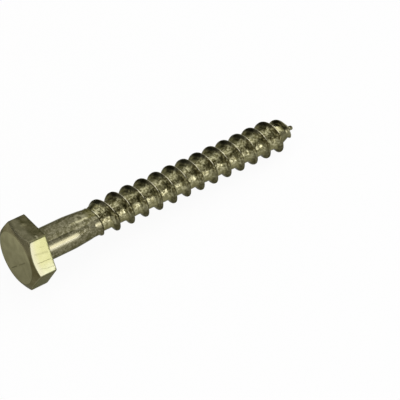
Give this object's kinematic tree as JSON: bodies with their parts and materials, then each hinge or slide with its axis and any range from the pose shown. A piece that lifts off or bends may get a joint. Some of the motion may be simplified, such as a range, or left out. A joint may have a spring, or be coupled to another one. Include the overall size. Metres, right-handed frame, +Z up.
{
  "type": "lag screw",
  "caption": "Hex-head lag screw: chamfered head, plain shank tapering to a coarse right-hand wood thread, and a sharp gimlet point. It lies on its side.",
  "frame": {"origin": "centre of the bearing face under the head, on the screw's own axis", "axes": "+X along the screw towards its point, +Z up from the floor that the screw lies on. The screw's own axis dips 2.58 degrees below +X, because the head and the last full turn of the thread both touch the floor. One flat of the head faces the floor and one faces up"},
  "size_m": [0.0717, 0.015, 0.0132],
  "materials": {
    "screw_steel": "bare forged and rolled steel with a dull yellowish passivation: satin on the head and thread flanks, pitted and mottled on the shank and the root of the thread"
  },
  "bodies": {
    "root": {"lag_screw": "screw_steel"}
  },
  "joints": []
}
